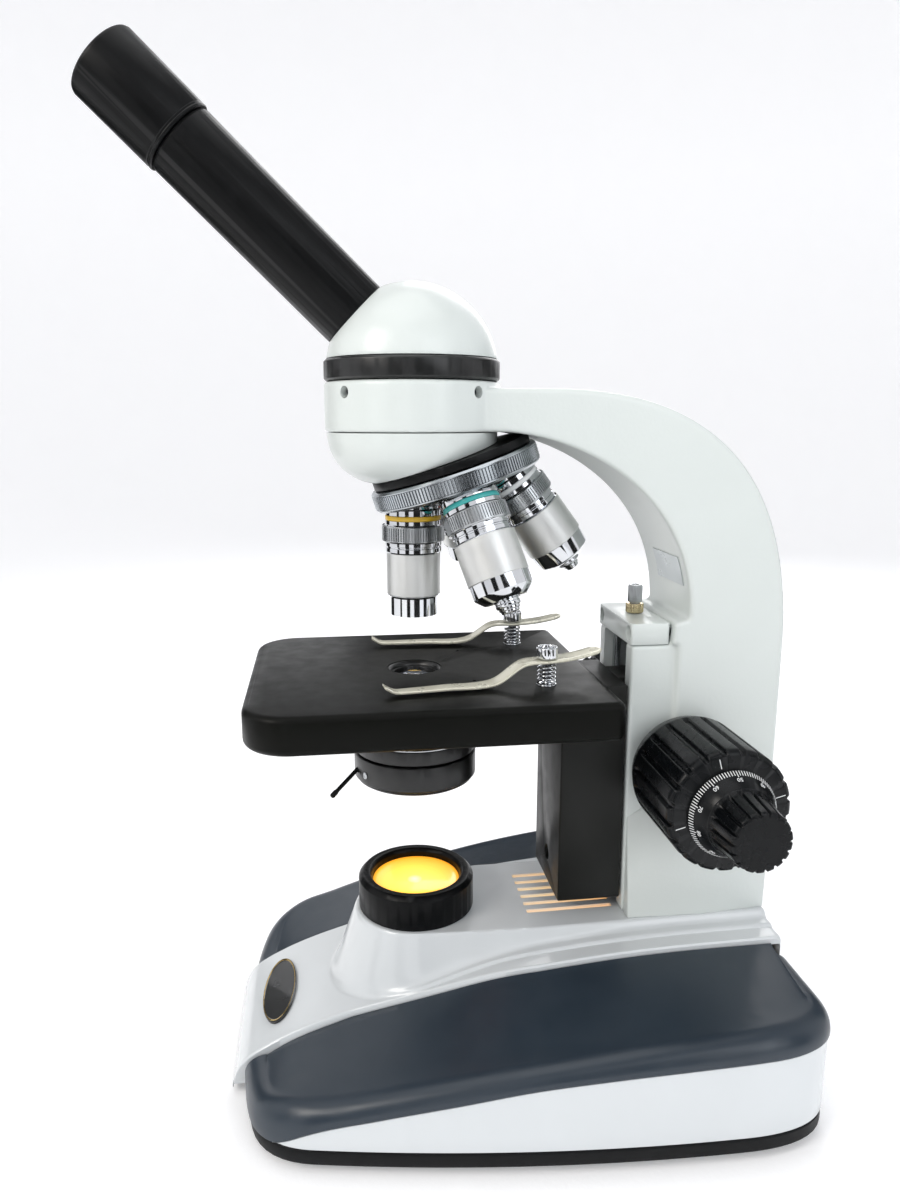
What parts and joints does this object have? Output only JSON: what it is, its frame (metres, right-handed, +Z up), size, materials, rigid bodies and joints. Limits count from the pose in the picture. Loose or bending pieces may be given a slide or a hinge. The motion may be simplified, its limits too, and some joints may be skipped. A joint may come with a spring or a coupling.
{
  "type": "compound microscope",
  "caption": "Upright monocular compound microscope: cast arm on a lamp base, geared stage with clips, tilted turret of objectives and an inclined eyepiece tube.",
  "frame": {"origin": "on the table, under the middle of the instrument's bounding box", "axes": "+Z up, -Y towards the user's eyepiece, +X to the user's right; the optical axis is the vertical line at Y = -17.1 mm"},
  "size_m": [0.182, 0.255, 0.3754],
  "materials": {
    "base_tray": "satin",
    "rubber_foot_1": "matte",
    "rubber_foot_2": "matte",
    "rubber_foot_3": "matte",
    "rubber_foot_4": "matte",
    "base_skirt": "gloss",
    "wing_right": "satin",
    "wing_left": "satin",
    "base_cover": "gloss",
    "base_badge": "satin",
    "lamp_collar": "satin",
    "field_lens": "gloss",
    "lamp_bulb": "gloss",
    "lamp_socket": "matte",
    "transformer": "satin",
    "power_inlet": "satin",
    "arm": "gloss",
    "guide_rail_right": "satin",
    "guide_rail_left": "satin",
    "top_cap": "gloss",
    "cap_screw_right": "satin",
    "cap_screw_left": "satin",
    "nosepiece_housing": "gloss",
    "nosepiece_plate": "satin",
    "head_set_screw_1": "satin",
    "head_set_screw_2": "satin",
    "head_set_screw_3": "satin",
    "switch_rocker": "satin",
    "stage_plate": "satin",
    "stage_carrier": "satin",
    "focus_rack": "satin",
    "clip_post_right": "polished",
    "clip_post_left": "polished",
    "clip_spring_right": "polished",
    "clip_spring_left": "polished",
    "condenser_body": "satin",
    "condenser_lens": "gloss",
    "iris_ring": "satin",
    "clip_right": "satin",
    "clip_left": "satin",
    "coarse_knob_right": "satin",
    "coarse_knob_left": "satin",
    "focus_shaft": "satin",
    "fine_knob_right": "satin",
    "fine_knob_left": "satin",
    "fine_shaft": "satin",
    "stop_screw": "satin",
    "stop_lock_ring": "satin",
    "nosepiece_turret": "satin",
    "objective_4x": "satin",
    "objective_10x": "satin",
    "objective_40x": "satin",
    "objective_100x": "satin",
    "tip_40x": "satin",
    "tip_100x": "satin",
    "head_band": "satin",
    "head_dome": "gloss",
    "eyepiece_tube": "satin",
    "eyepiece_body": "satin",
    "eye_lens": "gloss"
  },
  "bodies": {
    "frame": {"base_tray": "base_tray", "rubber_foot_1": "rubber_foot_1", "rubber_foot_2": "rubber_foot_2", "rubber_foot_3": "rubber_foot_3", "rubber_foot_4": "rubber_foot_4", "base_skirt": "base_skirt", "wing_right": "wing_right", "wing_left": "wing_left", "base_cover": "base_cover", "base_badge": "base_badge", "lamp_collar": "lamp_collar", "field_lens": "field_lens", "lamp_bulb": "lamp_bulb", "lamp_socket": "lamp_socket", "transformer": "transformer", "power_inlet": "power_inlet", "arm": "arm", "guide_rail_right": "guide_rail_right", "guide_rail_left": "guide_rail_left", "top_cap": "top_cap", "cap_screw_right": "cap_screw_right", "cap_screw_left": "cap_screw_left", "nosepiece_housing": "nosepiece_housing", "nosepiece_plate": "nosepiece_plate", "head_set_screw_1": "head_set_screw_1", "head_set_screw_2": "head_set_screw_2", "head_set_screw_3": "head_set_screw_3"},
    "power_switch": {"switch_rocker": "switch_rocker"},
    "stage": {"stage_plate": "stage_plate", "stage_carrier": "stage_carrier", "focus_rack": "focus_rack", "clip_post_right": "clip_post_right", "clip_post_left": "clip_post_left", "clip_spring_right": "clip_spring_right", "clip_spring_left": "clip_spring_left", "condenser_body": "condenser_body", "condenser_lens": "condenser_lens"},
    "iris": {"iris_ring": "iris_ring"},
    "right_clip": {"clip_right": "clip_right"},
    "left_clip": {"clip_left": "clip_left"},
    "coarse_focus": {"coarse_knob_right": "coarse_knob_right", "coarse_knob_left": "coarse_knob_left", "focus_shaft": "focus_shaft"},
    "fine_focus": {"fine_knob_right": "fine_knob_right", "fine_knob_left": "fine_knob_left", "fine_shaft": "fine_shaft"},
    "stop": {"stop_screw": "stop_screw"},
    "stop_lock": {"stop_lock_ring": "stop_lock_ring"},
    "turret": {"nosepiece_turret": "nosepiece_turret", "objective_4x": "objective_4x", "objective_10x": "objective_10x", "objective_40x": "objective_40x", "objective_100x": "objective_100x"},
    "front_40x": {"tip_40x": "tip_40x"},
    "front_100x": {"tip_100x": "tip_100x"},
    "head": {"head_band": "head_band", "head_dome": "head_dome", "eyepiece_tube": "eyepiece_tube"},
    "eyepiece": {"eyepiece_body": "eyepiece_body", "eye_lens": "eye_lens"}
  },
  "joints": [
    {"name": "switch_rock", "type": "hinge", "parent": "frame", "child": "power_switch", "pos_m": [0.0205, 0.1215, 0.023], "axis": [1, 0, 0], "range_deg": [0, 12]},
    {"name": "stage_focus", "type": "slide", "parent": "frame", "child": "stage", "axis": [0, 0, 1], "range_m": [-0.0025, 0.015]},
    {"name": "iris_turn", "type": "hinge", "parent": "stage", "child": "iris", "pos_m": [0, -0.0171, 0.119], "axis": [0, 0, 1], "range_deg": [-35, 35]},
    {"name": "clip_right_swing", "type": "hinge", "parent": "stage", "child": "right_clip", "pos_m": [0.0305, 0.0279, 0.165], "axis": [0, 0, 1], "range_deg": [-25, 20]},
    {"name": "clip_left_swing", "type": "hinge", "parent": "stage", "child": "left_clip", "pos_m": [-0.0305, 0.0279, 0.165], "axis": [0, 0, 1], "range_deg": [-20, 25]},
    {"name": "coarse_turn", "type": "hinge", "parent": "frame", "child": "coarse_focus", "pos_m": [0, 0.0833, 0.1206], "axis": [1, 0, 0], "range_deg": [-173, 30]},
    {"name": "fine_turn", "type": "hinge", "parent": "coarse_focus", "child": "fine_focus", "pos_m": [0, 0.0833, 0.1206], "axis": [1, 0, 0], "continuous": true},
    {"name": "stop_screw_turn", "type": "hinge", "parent": "frame", "child": "stop", "pos_m": [0, 0.0709, 0.18], "axis": [0, 0, 1], "continuous": true},
    {"name": "stop_lock_turn", "type": "hinge", "parent": "frame", "child": "stop_lock", "pos_m": [0, 0.0709, 0.177], "axis": [0, 0, 1], "continuous": true},
    {"name": "nosepiece_turn", "type": "hinge", "parent": "frame", "child": "turret", "pos_m": [0, -0.0171, 0.27855], "axis": [0, 0.314, -0.9494], "continuous": true},
    {"name": "tip_40x_spring", "type": "slide", "parent": "turret", "child": "front_40x", "axis": [-0.314, -0.2981, 0.9014], "range_m": [0, 0.0025], "stiffness_N_per_m": 300, "springref_m": -0.002},
    {"name": "tip_100x_spring", "type": "slide", "parent": "turret", "child": "front_100x", "axis": [0, -0.5962, 0.8028], "range_m": [0, 0.0025], "stiffness_N_per_m": 300, "springref_m": -0.002},
    {"name": "head_turn", "type": "hinge", "parent": "frame", "child": "head", "pos_m": [0, -0.0171, 0.268], "axis": [0, 0, 1], "continuous": true},
    {"name": "eyepiece_lift", "type": "slide", "parent": "head", "child": "eyepiece", "axis": [0, -0.7169, 0.6972], "range_m": [0, 0.03]}
  ],
  "couplings": [
    {"joint": "coarse_turn", "follows": "stage_focus", "rad_per_m": -200}
  ]
}
